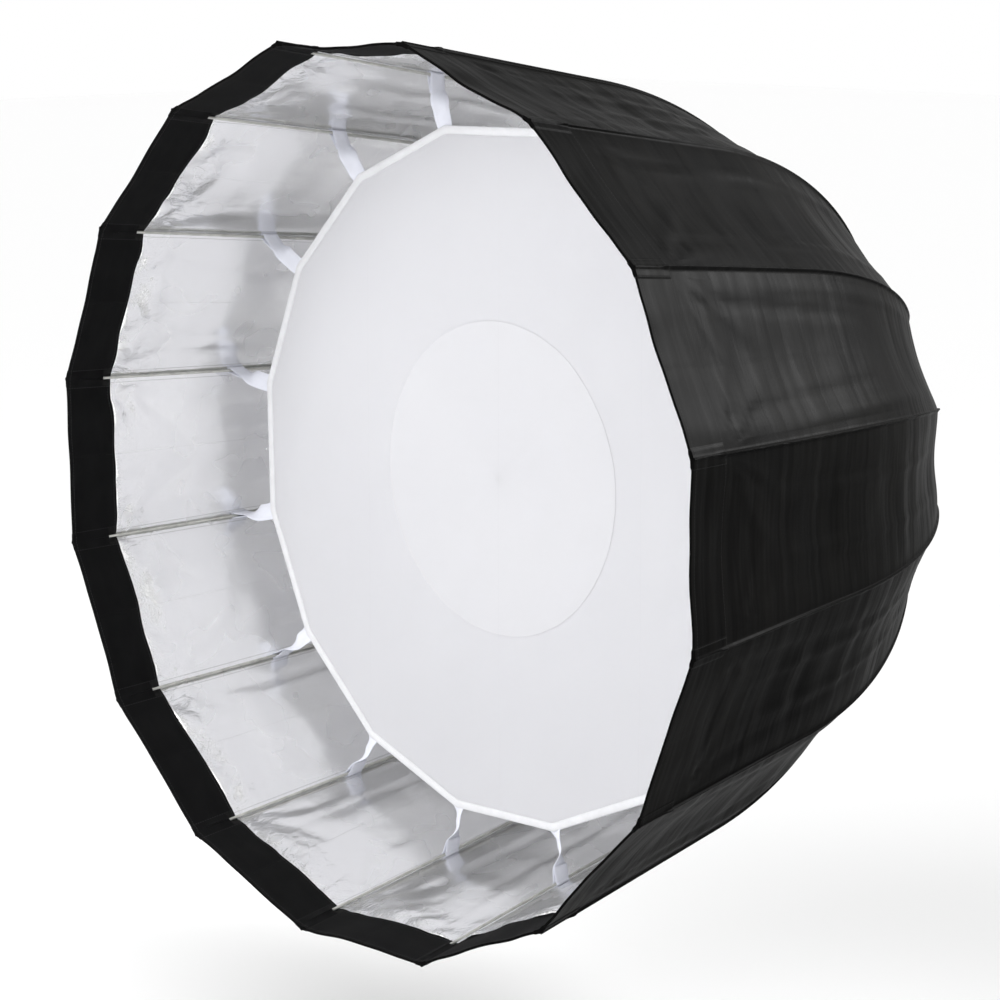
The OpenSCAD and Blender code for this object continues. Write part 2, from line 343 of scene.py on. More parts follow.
def lip_cloth():
    """Matt black brushed cloth, stitched at its edges and beside the rib pockets."""
    m = Nodes("lip_cloth", (0.005, 0.005, 0.005), 0.9, Sheen_Weight=0.01, Sheen_Roughness=0.6)
    m.shader.inputs["Specular IOR Level"].default_value = 0.08
    cloth = m.cloth_point()
    across, along = m.split(cloth)[0], m.split(cloth)[1]
    side = m.math("ABSOLUTE", across)
    nap = m.noise(m.scaled(cloth, (900, 900, 1)), 1.0, 2.0)
    brushed = m.noise(m.scaled(cloth, (25, 60, 1)), 1.0, 3.0)
    beside_pocket = m.math("MULTIPLY", m.stitches(side, along, POCKET_STITCH), 0.8)
    lip_edge = m.stitches(along, across, LIP_START + 0.003)
    mouth_hem = m.stitches(along, across, LENGTH - 0.004)
    thread = m.math("MAXIMUM", beside_pocket, m.math("MAXIMUM", lip_edge, mouth_hem))
    base = m.mix(m.ramp(brushed, 0.3, 0.75), (0.0035, 0.0035, 0.0038), (0.006, 0.006, 0.0062))
    tab_width = m.ramp(side, TAB_HALF_W + 0.0002, TAB_HALF_W - 0.0002)
    tab_length = m.ramp(along, TAB_END + 0.00025, TAB_END - 0.00025)
    tab = m.math("MULTIPLY", tab_width, tab_length)
    base = m.mix(tab, base, (0.011, 0.0108, 0.0106))
    m.colour(m.mix(thread, base, (0.028, 0.028, 0.028)))
    m.roughness(m.ramp(nap, 0.3, 0.7, 0.84, 0.98))
    m.bump((brushed, 0.2, 0.002), (thread, 0.5, 0.0004), (nap, 0.4, 0.0005))
    return m.material


def lining_cloth():
    """Silver foil cloth, crinkled all over and puckered towards the lip."""
    m = Nodes("lining_cloth", (0.93, 0.93, 0.935), 0.25, 0.95)
    point, cloth, panel = m.object_point(), m.cloth_point(), m.panel_point()
    side = m.math("ABSOLUTE", m.split(cloth)[0])
    along = m.split(cloth)[1]
    cloud = m.noise(point, 4.0, 2.0)
    pulled = m.noise(m.scaled(panel, (15, 13, 1)), 1.0, 2.0, 0.45, 0.35)
    streaks = m.noise(m.scaled(panel, (55, 12, 1)), 1.0, 2.0, 0.5, 0.25)
    crumple = m.noise(m.scaled(panel, (34, 22, 1)), 1.0, 3.0, 0.5, 0.8)
    puckers = m.noise(m.scaled(panel, (75, 45, 1)), 1.0, 3.0, 0.6, 0.6)
    near_lip = m.ramp(along, LIP_START - 0.085, LIP_START - 0.005)
    seam = m.math("MAXIMUM", m.line(side, LINING_STITCH, 0.0010), m.line(side, 0.0, 0.0024))
    base = m.mix(m.ramp(cloud, 0.3, 0.7), (0.88, 0.88, 0.885), (0.95, 0.95, 0.952))
    m.colour(m.mix(m.math("MULTIPLY", seam, 0.4), base, (0.36, 0.36, 0.35)))
    m.roughness(m.ramp(pulled, 0.3, 0.72, 0.19, 0.32))
    m.bump(
        (pulled, 0.4, 0.0042),
        (m.math("MULTIPLY", streaks, m.ramp(cloud, 0.6, 0.4)), 0.35, 0.0013),
        (m.math("MULTIPLY", crumple, m.ramp(cloud, 0.45, 0.6)), 0.35, 0.0026),
        (m.math("MULTIPLY", puckers, near_lip), 0.8, 0.0034),
        (seam, 0.4, 0.0006),
        (m.weave(cloth, LINING_WEAVE), 0.06, 0.0002),
    )
    return m.material


def diffuser_cloth(name="diffuser_cloth", low=0.945, high=0.97, through=0.62):
    """Thin white cloth with faint packing creases, painted darker as painted shade. It lets part of the
    light through.
    """
    m = Nodes(name, (high, high, high), 0.75, Sheen_Weight=0.1, Sheen_Roughness=0.5)
    point = m.object_point()
    parts = m.split(point)
    flat = m.node("ShaderNodeCombineXYZ", X=parts[0], Y=parts[2], Z=0.0).outputs[0]
    cloud = m.noise(flat, 5.0, 3.0)
    side = m.math("ABSOLUTE", parts[0])
    crease = m.math("MAXIMUM", m.line(side, PACKING_CREASE, 0.0016), m.line(side, 0.0, 0.0016))
    base = m.mix(m.ramp(cloud, 0.3, 0.7), (low, low, low * 1.025), (high, high, high * 1.022))
    # Painted shade: the packing creases and the middle crease are painted a darker grey.
    m.colour(m.mix(m.math("MULTIPLY", crease, 0.12), base, (0.6, 0.6, 0.62)))
    m.roughness(m.ramp(cloud, 0.3, 0.7, 0.68, 0.82))
    m.bump(
        (m.noise(m.scaled(flat, (3, 3, 1)), 1.0, 3.0, 0.5, 0.5), 0.15, 0.01),
        (crease, 0.2, 0.0006),
        (m.weave(flat, SHEET_WEAVE), 0.12, 0.0002),
    )
    m.translucent(through, (high, high, high * 1.02))
    return m.material


def webbing(name, colour, line_colour):
    """Narrow woven tape. The second coordinate runs along it."""
    m = Nodes(name, colour, 0.72, Sheen_Weight=0.1, Sheen_Roughness=0.5)
    cloth = m.cloth_point()
    across, along = m.split(cloth)[0], m.split(cloth)[1]
    side = m.math("ABSOLUTE", across)
    ribs = m.math("SINE", m.math("MULTIPLY", along, 2 * math.pi / TAPE_RIB))
    ribs = m.math("MULTIPLY_ADD", ribs, 0.5, 0.5)
    thread = m.stitches(side, along, 0.008)
    cloud = m.noise(m.object_point(), 60.0, 3.0)
    shade = tuple(0.93 * c for c in colour)
    base = m.mix(m.ramp(cloud, 0.3, 0.7), shade, colour)
    m.colour(m.mix(thread, base, line_colour))
    m.roughness(m.ramp(cloud, 0.3, 0.7, 0.65, 0.8))
    m.bump((ribs, 0.25, 0.0003), (thread, 0.4, 0.0003), (cloud, 0.2, 0.001))
    return m.material


def metal(name, colour, rough, metallic=1.0, grain=(6, 300, 6)):
    """Turned, drawn or coated metal with fine grain and handling marks."""
    m = Nodes(name, colour, rough, metallic)
    point = m.object_point()
    lines = m.noise(m.scaled(point, grain), 1.0, 3.0)
    marks = m.noise(point, 60.0, 4.0, 0.65)
    shade = tuple(0.72 * c for c in colour)
    base = m.mix(m.ramp(marks, 0.4, 0.7), colour, shade)
    m.colour(m.mix(m.ramp(lines, 0.6, 0.8, 0.0, 0.3), base, tuple(min(1, 1.25 * c) for c in colour)))
    m.roughness(m.ramp(marks, 0.3, 0.75, rough - 0.07, rough + 0.14))
    m.bump((lines, 0.08, 0.0004), (marks, 0.05, 0.0005))
    return m.material


def moulded(name, colour, rough):
    """Moulded plastic with a fine spark texture."""
    m = Nodes(name, colour, rough)
    point = m.object_point()
    grain = m.noise(point, 900.0, 2.0)
    wear = m.noise(point, 45.0, 4.0, 0.6)
    m.colour(m.mix(m.ramp(wear, 0.5, 0.8), colour, tuple(2.2 * c for c in colour)))
    m.roughness(m.ramp(wear, 0.3, 0.7, rough - 0.06, rough + 0.1))
    m.bump((grain, 0.25, 0.0003), (wear, 0.05, 0.0005))
    return m.material


SHELL = shell_cloth()
LIP_CLOTH = lip_cloth()
LINING = lining_cloth()
DIFFUSER = diffuser_cloth()
PATCH = diffuser_cloth("patch_cloth", 0.855, 0.88, 0.45)
HEM = webbing("hem_tape", (0.77, 0.775, 0.80), (0.72, 0.725, 0.75))
STRAP = webbing("strap_tape", (0.82, 0.835, 0.92), (0.76, 0.77, 0.85))
ROD = metal("rod_coat", (0.62, 0.62, 0.58), 0.36, 0.55, (40, 2, 40))
TIP_CAP = moulded("tip_cap", (0.75, 0.75, 0.7), 0.45)


# ---------------------------------------------------------------- mesh helpers
def build(name, points, faces, material_of=None, materials=(), uv=None, panel=None, flat_ends=0):
    """Makes a mesh object. uv and panel hold a pair for each vertex. The last flat_ends faces are flat."""
    mesh = bpy.data.meshes.new(name)
    mesh.from_pydata([tuple(p) for p in points], [], faces)
    for material in materials:
        mesh.materials.append(material)
    if material_of is not None:
        mesh.polygons.foreach_set("material_index", material_of)
    smooth = len(faces) - flat_ends
    mesh.polygons.foreach_set("use_smooth", [True] * smooth + [False] * flat_ends)
    index = np.empty(len(mesh.loops), int)
    mesh.loops.foreach_get("vertex_index", index)
    for layer_name, pairs in (("cloth", uv), ("panel", panel)):
        if pairs is not None:
            layer = mesh.uv_layers.new(name=layer_name)
            layer.data.foreach_set("uv", np.asarray(pairs, float)[index].ravel())
    mesh.update()
    made = bpy.data.objects.new(name, mesh)
    bpy.context.collection.objects.link(made)
    return made


def grid_box(rows, columns):
    """Faces of two parallel grids joined at their edges."""
    count = rows * columns
    faces = []
    for j in range(rows - 1):
        for i in range(columns - 1):
            a = j * columns + i
            quad = [a, a + 1, a + 1 + columns, a + columns]
            faces.append(quad)
            faces.append([count + v for v in quad[::-1]])
    rim = (
        list(range(columns))
        + [j * columns + columns - 1 for j in range(1, rows)]
        + [(rows - 1) * columns + i for i in range(columns - 2, -1, -1)]
        + [j * columns for j in range(rows - 2, 0, -1)]
    )
    for a, b in zip(rim, rim[1:] + rim[:1]):
        faces.append([b, a, a + count, b + count])
    return faces


def rib_turn(k):
    """Unit vectors of rib k, counted from 1: outwards, and across it."""
    a = FIRST + STEP * (k - 1)
    return np.array([-math.sin(a), 0, math.cos(a)]), np.array([math.cos(a), 0, math.sin(a)])


def rib_axis(s):
    """Radius, y and angle from the optical axis, at the distance s along a rib from its pin."""
    s = np.asarray(s, float)
    root = np.clip(s, 0, ROOT_LEN)
    back = np.clip(s - ROOT_LEN, 0, BACK_LEN)
    side = np.clip(s - ROOT_LEN - BACK_LEN, 0, SIDE_LEN)
    tip = np.clip(s - (LENGTH - TIP_LEN), 0, None)
    a1 = ROOT_ANGLE - back / BACK_R
    a2 = JOIN_ANGLE - side / SIDE_R
    radius = PIN_R + root * math.sin(ROOT_ANGLE) + BACK_R * (np.cos(a1) - math.cos(ROOT_ANGLE))
    radius = radius + SIDE_R * (np.cos(a2) - math.cos(JOIN_ANGLE)) + tip * math.sin(TIP_ANGLE)
    y = PIN_Y - root * math.cos(ROOT_ANGLE) - BACK_R * (math.sin(ROOT_ANGLE) - np.sin(a1))
    y = y - SIDE_R * (math.sin(JOIN_ANGLE) - np.sin(a2)) - tip * math.cos(TIP_ANGLE)
    angle = np.where(s <= ROOT_LEN + BACK_LEN, a1, a2)
    return radius, y, angle


def cloth_noise(points, scale, seed):
    """Perlin noise for an array of points, each axis with its own scale."""
    offset = Vector((3.1 * seed, 1.7 * seed, 5.3 * seed))
    flat = points.reshape(-1, 3) * np.asarray(scale, float)
    values = [noise.noise(Vector(p) + offset) for p in flat]
    return np.array(values).reshape(points.shape[:-1])


def smoothstep(x, low, high):
    t = np.clip((x - low) / (high - low), 0, 1)
    return t * t * (3 - 2 * t)


# ---------------------------------------------------------------- canopy
# Distances from the rib of the cloth's columns: close ones shape the seam and the tip pocket
NEAR_COLUMNS = (0, 0.0010, 0.0019, 0.0028, 0.0056, 0.0085, 0.0115, 0.0128, 0.0145)
FAR_COLUMNS = 12
ROW_STEP = 0.009
SEAM_H = 0.0032
POCKET_W, POCKET_H = 0.0128, 0.0014
COVER_START = 0.013
PANEL_PITCH = 0.5


def cloth_rows():
    """Distances along the rib of the cloth's rows, from the hem at the hub to the mouth."""
    body = np.linspace(HEM_START, LIP_START - 0.002, int((LIP_START - HEM_START) / ROW_STEP))
    edge = LIP_START + np.array([0, 0.002, 0.0075, COVER_START, COVER_START + 0.0015])
    lip = np.linspace(LIP_START + 0.021, LENGTH - 0.003, 7)
    return np.concatenate([body, edge, lip, [LENGTH]])


ROWS = cloth_rows()


def panel_columns(half):
    """Distances from a rib to the middle of the panel, for rows of the given half widths."""
    near = np.array(NEAR_COLUMNS)
    far = np.linspace(0, 1, FAR_COLUMNS + 1)[1:]
    reach = near[-1] + far * (half[:, None] - near[-1])
    return np.concatenate([np.broadcast_to(near, (len(half), len(near))), reach], axis=1)


def panel_layer(p, outside):
    """The cloth of panel p, from rib p to the next: a grid of points, its cloth and panel coordinates."""
    radius, y, angle = rib_axis(ROWS)
    gap = GAP_HUB + (GAP_MOUTH - GAP_HUB) * (y - PIN_Y) / (MOUTH_Y - PIN_Y)
    gap = gap + (CLOTH_T if outside else 0)
    radius, y = radius + gap * np.cos(angle), y + gap * np.sin(angle)
    half = radius * math.sin(HALF)
    from_rib = panel_columns(half)
    out_a, out_b = rib_turn(p)[0], rib_turn(p + 1)[0]
    middle = (out_a + out_b) / np.linalg.norm(out_a + out_b)
    across = np.cross(middle, AXIS)
    across = across * np.sign(across @ (out_b - out_a))
    columns = np.concatenate([-(half[:, None] - from_rib), (half[:, None] - from_rib)[:, -2::-1]], axis=1)
    near_rib = np.concatenate([from_rib, from_rib[:, -2::-1]], axis=1)
    points = (
        (radius * math.cos(HALF))[:, None, None] * middle
        + columns[..., None] * across
        + y[:, None, None] * AXIS
    )
    normal = np.cos(angle)[:, None, None] * middle + np.sin(angle)[:, None, None] * AXIS
    share = near_rib / half[:, None]
    along = np.repeat(ROWS[:, None], columns.shape[1], 1)
    run_on = columns + p * PANEL_PITCH
    spread = np.stack([run_on, np.zeros_like(columns), along], -1)
    lift = cloth_lift(p, points, spread, near_rib, share, outside)
    points = points + lift[..., None] * normal
    if not outside:
        points = points + lip_wave(points, near_rib, angle, middle)
    else:
        left = (columns < 0)[..., None]
        fins = seam_fin(p, near_rib, angle), seam_fin(p % RIBS + 1, near_rib, angle)
        points = points + np.where(left, *fins)
    cloth = np.stack([np.where(columns < 0, near_rib, -near_rib), along], -1)
    return points, cloth, np.stack([run_on, along], -1)


# How far the cloth sags, wrinkles and wanders between the ribs, and the lining's and the lip's own thickness
SAG, SAG_LESS_AT_MOUTH = 0.0050, 0.0022
SLOW_WAVE, LONG_FOLD, MOUTH_RIPPLE = 0.0026, 0.0030, 0.0022
CRINKLE, CRUSH, PUCKER = 0.0028, 0.0065, 0.0090
RAISED_CREASE, SUNK_CREASE, FAN_FOLD = 0.0018, 0.0014, 0.0013
LIP_WANDER = 0.0055
LINING_T, LIP_T = 0.0005, 0.0012
HELD_BESIDE_RIB = 0.03


def lip_wave(points, near_rib, angle, middle):
    """The lip's sewn inner edge wanders a little between the ribs, along the cloth."""
    s = ROWS[:, None]
    from_edge = np.abs(s - LIP_START)
    reach = np.clip(near_rib / HELD_BESIDE_RIB, 0, 1) * (1 - smoothstep(from_edge, 0.004, 0.030))
    edge = points[int(np.abs(ROWS - LIP_START).argmin())][None]
    shift = reach * LIP_WANDER * cloth_noise(np.repeat(edge, len(ROWS), 0), (17, 0, 17), 7)
    way = np.sin(angle)[:, None, None] * middle - np.cos(angle)[:, None, None] * AXIS
    return shift[..., None] * way


def seam_fin(k, near_rib, angle):
    """The seam's standing edge over rib k, leaning a little one way or the other."""
    s = ROWS[:, None]
    out, across = rib_turn(k)
    height = SEAM_H * (1 - 0.6 * smoothstep(s, LENGTH - 0.065, LENGTH - 0.050))
    height = height * (1 - smoothstep(near_rib, 0.0008, 0.0028))
    lean = 0.5 * np.sin(7 * s + 2.1 * k)
    upright = np.cos(angle)[:, None, None] * out + np.sin(angle)[:, None, None] * AXIS
    return height[..., None] * (upright + lean[..., None] * across)


def cloth_lift(p, points, spread, near_rib, share, outside):
    """How far the cloth stands out from the flat panel, in metres."""
    s = ROWS[:, None]
    belly = np.sin(np.clip(share, 0, 1) * math.pi / 2) ** 2
    to_mouth = smoothstep(s, LENGTH - 0.16, LENGTH)
    sag = -(SAG - SAG_LESS_AT_MOUTH * to_mouth) * belly
    slow = cloth_noise(points, (7, 4, 7), 1)
    folds = cloth_noise(spread, (5, 1, 22), 2)
    ripple = cloth_noise(spread, (20, 1, 9), 3)
    loose = np.clip(near_rib / HELD_BESIDE_RIB, 0, 1)
    lift = sag + loose * (SLOW_WAVE * slow + LONG_FOLD * folds * belly + MOUTH_RIPPLE * ripple * to_mouth)
    lift = lift + (fold_lines(p, s, share) + tip_fans(p, s, near_rib)) * loose
    in_lip = smoothstep(s, LIP_START - 0.001, LIP_START + 0.001)
    if outside:
        pocket = in_lip * (1 - smoothstep(near_rib, POCKET_W - 0.0013, POCKET_W)) * POCKET_H * 0.7
        return lift + pocket
    crinkle = np.abs(cloth_noise(points, (14, 7, 14), 4)) * CRINKLE
    corner = np.exp(-((near_rib / 0.05) ** 2)) * smoothstep(s, LIP_START - 0.09, LIP_START - 0.02)
    crush = np.abs(cloth_noise(points, (50, 30, 50), 5)) * CRUSH * corner
    near_lip = smoothstep(s, LIP_START - 0.07, LIP_START - 0.01)
    pucker = np.abs(cloth_noise(points, (22, 26, 22), 6)) * PUCKER * near_lip
    lining = lift - LINING_T - (1 - in_lip) * loose * (crinkle + crush + pucker)
    beside_rod = smoothstep(near_rib, 0.003, 0.009)
    past_edge = smoothstep(s, LIP_START + COVER_START - 0.001, LIP_START + COVER_START + 0.001)
    over_rod = past_edge * (1 - smoothstep(s, LENGTH - ROD_INSET, LENGTH - 0.006))
    pocket = past_edge * (1 - smoothstep(near_rib, POCKET_W - 0.004, POCKET_W)) * POCKET_H
    rise = over_rod * np.exp(-((near_rib / 0.0055) ** 2)) * (CAP_R + 0.0013)
    return lining - in_lip * LIP_T * np.maximum(beside_rod, past_edge) - pocket - rise


def fold_lines(p, s, share):
    """Two long creases on each panel, pulled out of the cloth by the ribs: a raised one and a sunk one."""
    turn = 0.7 * math.sin(2.3 * p)
    centre = 0.5 + 0.25 * math.sin(1.7 * p + 1) + turn * (s - 0.55) * 0.5
    first = np.exp(-(((share - centre) / 0.07) ** 2))
    first = first * smoothstep(s, 0.3, 0.5) * (1 - smoothstep(s, 0.8, 0.98))
    second = np.exp(-(((share - 0.35 - 0.6 * (1 - s)) / 0.06) ** 2)) * smoothstep(s, 0.55, 0.7)
    second = second * (1 - smoothstep(s, 0.95, 1.05))
    return RAISED_CREASE * first - SUNK_CREASE * second


def tip_fans(p, s, near_rib):
    """Tension folds that spread over the panel from the corner where the lip crosses the rib."""
    back = LIP_START - s
    reach = np.hypot(near_rib, back)
    bearing = np.arctan2(near_rib, back)
    total = 0.0
    for i in range(3):
        aim = 0.30 + 0.34 * i + 0.12 * math.sin(2.7 * p + 1.9 * i)
        ends = 0.15 + 0.05 * math.sin(1.3 * p + 2.3 * i)
        ridge = np.exp(-(((bearing - aim) / 0.10) ** 2)) * smoothstep(reach, 0.015, 0.05)
        total = total + ridge * (1 - smoothstep(reach, 0.5 * ends, 1.3 * ends))
    return FAN_FOLD * total


def grid_normals(points, outward):
    """Unit normals of a grid of points, away from the optical axis or towards it."""
    along = np.gradient(points, axis=0)
    across = np.gradient(points, axis=1)
    normal = np.cross(along, across)
    normal = normal / np.linalg.norm(normal, axis=-1, keepdims=True)
    centre = points.copy()
    centre[..., 1] = 0
    flip = np.sign((normal * centre).sum(-1, keepdims=True).mean())
    return normal * flip * (1 if outward else -1)


# Where the lengths of each gore meet, as distances along the rib
BAND_ENDS = (HEM_START, 0.24, 0.46, 0.68, 0.87, LIP_START, LENGTH)


def add_band(k, number, low, high, panels):
    """One length of the cloth on rib k: black shell outside, lining or lip inside, closed at its edges."""
    pick = np.arange(low, high + 1)
    layers, uvs, spans, normals = [], [], [], []
    for outside in (True, False):
        left, right = panels[(k - 2) % RIBS][outside], panels[(k - 1) % RIBS][outside]
        mid = left[0].shape[1] // 2
        grid = [np.concatenate([a[pick, mid:], b[pick, 1:mid + 1]], axis=1) for a, b in zip(left, right)]
        layers.append(grid[0])
        uvs.append(grid[1])
        spans.append(grid[2])
        normals.append(grid[3])
    rows, columns = layers[0].shape[:2]
    points = np.concatenate([layer.reshape(-1, 3) for layer in layers])
    uv = np.concatenate([grid.reshape(-1, 2) for grid in uvs])
    span = np.concatenate([grid.reshape(-1, 2) for grid in spans])
    faces = grid_box(rows, columns)
    cells = (rows - 1) * (columns - 1)
    slots = [0, 1] * cells + [0] * (len(faces) - 2 * cells)
    is_lip = number == len(BAND_ENDS) - 2
    inner = LIP_CLOTH if is_lip else LINING
    name = f"canopy_{k:02d}_{number + 1}"
    made = build(name, points, faces, slots, (SHELL, inner), uv, span)
    set_normals(made, np.concatenate([n.reshape(-1, 3) for n in normals]), 2 * cells)
    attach(made, f"rib_{k:02d}")
    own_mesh(made)
    return made


def set_normals(made, normals, cloth_faces):
    """Gives the cloth the whole panel's normals, so no line shows between bands. Edge strips stay flat."""
    mesh = made.data
    loops = np.empty(len(mesh.loops), int)
    mesh.loops.foreach_get("vertex_index", loops)
    chosen = normals[loops]
    for polygon in list(mesh.polygons)[cloth_faces:]:
        chosen[polygon.loop_start:polygon.loop_start + polygon.loop_total] = polygon.normal
    mesh.normals_split_custom_set([tuple(n) for n in chosen])


def add_canopy():
    """Shapes all the panels first. Each gore then takes the nearer halves of the panels beside its rib."""
    panels = []
    for p in range(1, RIBS + 1):
        layers = {}
        for outside in (True, False):
            points, cloth, span = panel_layer(p, outside)
            layers[outside] = (points, cloth, span, grid_normals(points, outside))
        panels.append(layers)
    ends = [int(np.abs(ROWS - s).argmin()) for s in BAND_ENDS]
    for k in range(1, RIBS + 1):
        for number, (low, high) in enumerate(zip(ends, ends[1:])):
            band = add_band(k, number, low, high, panels)
            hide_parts(f"canopy_gore_{k:02d}")


# ---------------------------------------------------------------- ribs
def sweep(name, centres, tangents, radii, sides, materials, slots):
    """A round tube through the centres, closed at both ends. slots holds each length's material number."""
    points, coords, faces, material_of = [], [], [], []
    run = 0.0
    for j, (c, t, r) in enumerate(zip(centres, tangents, radii)):
        t = t / np.linalg.norm(t)
        u = np.cross(t, (0.3, 1.0, 0.2))
        u = u / np.linalg.norm(u)
        v = np.cross(t, u)
        if j:
            run += float(np.linalg.norm(c - centres[j - 1]))
        for i in range(sides):
            a = 2 * math.pi * i / sides
            points.append(c + r * (math.cos(a) * u + math.sin(a) * v))
            coords.append((r * a, run))
    n = len(centres)
    for j in range(n - 1):
        for i in range(sides):
            after = (i + 1) % sides
            faces.append([j * sides + i, j * sides + after, (j + 1) * sides + after, (j + 1) * sides + i])
            material_of.append(slots[j])
    faces.append(list(range(sides - 1, -1, -1)))
    faces.append([(n - 1) * sides + i for i in range(sides)])
    material_of += [slots[0], slots[-1]]
    return build(name, points, faces, material_of, materials, coords, flat_ends=2)


def add_rods():
    """Sprung rods with a rounded plastic cap on each tip."""
    cap_start = LENGTH - ROD_INSET - CAP_LEN
    along = np.concatenate([np.linspace(SOCKET_FLOOR, cap_start, ROD_STATIONS), [cap_start + CAP_STEP]])
    cap = cap_start + 2 * CAP_STEP + (CAP_LEN - 2 * CAP_STEP) * CAP_PLACES
    s = np.concatenate([along, cap])
    rod_r = ROD_R + (ROD_TIP_R - ROD_R) * smoothstep(along, 0.45, 0.95)
    radii = np.concatenate([rod_r, CAP_R * CAP_WIDTHS])
    slots = [0] * (len(along) - 1) + [1] * len(cap)
    radius, y, angle = rib_axis(s)
    for k in range(1, RIBS + 1):
        out, _ = rib_turn(k)
        centres = radius[:, None] * out + y[:, None] * AXIS
        tangents = np.sin(angle)[:, None] * out - np.cos(angle)[:, None] * AXIS
        rod = sweep(f"rod_{k:02d}", centres, tangents, radii, ROD_SIDES, (ROD, TIP_CAP), slots)
        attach(rod, f"rib_{k:02d}")
        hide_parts(f"rib_rod_{k:02d}")


# ---------------------------------------------------------------- inner diffuser
DIFFUSER_R = 0.476
SHEET_T = 0.0008
PATCH_R = 0.212
PATCH_SHARE = PATCH_R / DIFFUSER_R
PATCH_T = 0.0011
PATCH_ROUND = 0.0006
HEM_W = 0.0115
SECTOR_COLUMNS = 15


def edge_radius(turn):
    """Distance from the centre to the diffuser's straight edge, at the angle turn from a corner."""
    return DIFFUSER_R * math.cos(HALF) / np.cos(HALF - np.abs(turn))


def add_diffuser():
    """Sixteen sectors of one sheet, each with a corner in its middle, a hem and its share of the patch."""
    turns = np.linspace(-HALF, HALF, SECTOR_COLUMNS)
    shares = np.concatenate([np.linspace(0.0, PATCH_SHARE, 12), np.linspace(0.46, 1, 22)[1:]])
    for k in range(1, RIBS + 1):
        out, across = rib_turn(k)
        points, uv = [], []
        for front in (True, False):
            for share in shares:
                for turn in turns:
                    hem_start = edge_radius(turn) - HEM_W
                    inner = min(share, PATCH_SHARE)
                    beyond = (share - inner) / (1 - PATCH_SHARE)
                    r = inner * DIFFUSER_R + beyond * (hem_start - PATCH_R)
                    p = r * (math.cos(turn) * out + math.sin(turn) * across)
                    p[1] = (DIFFUSER_FRONT if front else DIFFUSER_FRONT + SHEET_T) + slack_at(p[0], p[2])
                    points.append(p)
                    uv.append((r * turn, r))
        rows, columns = len(shares), len(turns)
        faces = grid_box(rows, columns)
        sheet = build(f"diffuser_{k:02d}", points, faces, None, (DIFFUSER,), uv)
        set_normals(sheet, slack_normals(points), 2 * (rows - 1) * (columns - 1))
        finish_diffuser_piece(sheet, "inner_diffuser")
        hem = add_hem(k, turns)
        add_patch(k, turns)


# The taut sheet's remaining waves, as pairs of a height in metres and a count per metre
SLACK_WAVES = ((0.0016, 9), (0.0010, 26))
SLACK_FADE = 0.05


def slack_at(x, z):
    """How far the taut sheet still waves, fading out towards its hem."""
    r = math.hypot(x, z)
    wave = sum(height * noise.noise(Vector((count * x, 0, count * z))) for height, count in SLACK_WAVES)
    return wave * float(smoothstep(DIFFUSER_R * math.cos(HALF) - r, 0, SLACK_FADE))


def slack_normals(points):
    """Normals of the waving sheet: the first half of the points face forwards and the rest backwards."""
    d = 0.002
    normals = []
    for n, (x, _, z) in enumerate(points):
        slope_x = (slack_at(x + d, z) - slack_at(x - d, z)) / (2 * d)
        slope_z = (slack_at(x, z + d) - slack_at(x, z - d)) / (2 * d)
        way = np.array([slope_x, -1.0, slope_z]) * (1 if n < len(points) // 2 else -1)
        normals.append(way / np.linalg.norm(way))
    return np.array(normals)


def finish_diffuser_piece(made, node):
    """Puts a piece of the diffuser on the hub."""
    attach(made, "hub")
    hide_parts(node)
    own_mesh(made)


# The hem tape's rounded edges, the middle of its thickness, and the plugs at its ends
HEM_ROUND = 0.0012
HEM_MIDDLE = 0.0004
PLUG_TURN = 0.0015
PLUG_SIZE = 0.9


def add_hem(k, turns):
    """The folded tape round the diffuser's edge. A short, smaller plug at each end enters the next tape."""
    out, across = rib_turn(k)
    profile = [
        (0, 0.0), (HEM_ROUND, -0.0010), (0.5 * HEM_W, -0.0012), (HEM_W - HEM_ROUND, -0.0010),
        (HEM_W, HEM_MIDDLE), (HEM_W - HEM_ROUND, 0.0018), (HEM_ROUND, 0.0018), (0, 0.0008),
    ]
    end = HALF + PLUG_TURN
    stations = [(-end, PLUG_SIZE), *((turn, 1.0) for turn in turns), (end, PLUG_SIZE)]
    points, uv = [], []
    for turn, size in stations:
        for away, lift in profile:
            from_middle = size * (away - HEM_W / 2)
            r = edge_radius(turn) - HEM_W / 2 + from_middle
            p = r * (math.cos(turn) * out + math.sin(turn) * across)
            p[1] = DIFFUSER_FRONT + HEM_MIDDLE + size * (lift - HEM_MIDDLE)
            points.append(p)
            uv.append((from_middle, r * turn))
    n = len(profile)
    last = len(stations) - 2
    faces = [
        [j * n + i, j * n + (i + 1) % n, (j + 1) * n + (i + 1) % n, (j + 1) * n + i]
        for j in (*range(1, last), 0, last)
        for i in range(n)
    ]
    faces.append(list(range(n - 1, -1, -1)))
    faces.append([(last + 1) * n + i for i in range(n)])
    hem = build(f"diffuser_hem_{k:02d}", points, faces, None, (HEM,), uv, flat_ends=2 + 2 * n)
    finish_diffuser_piece(hem, "inner_diffuser")
    return hem


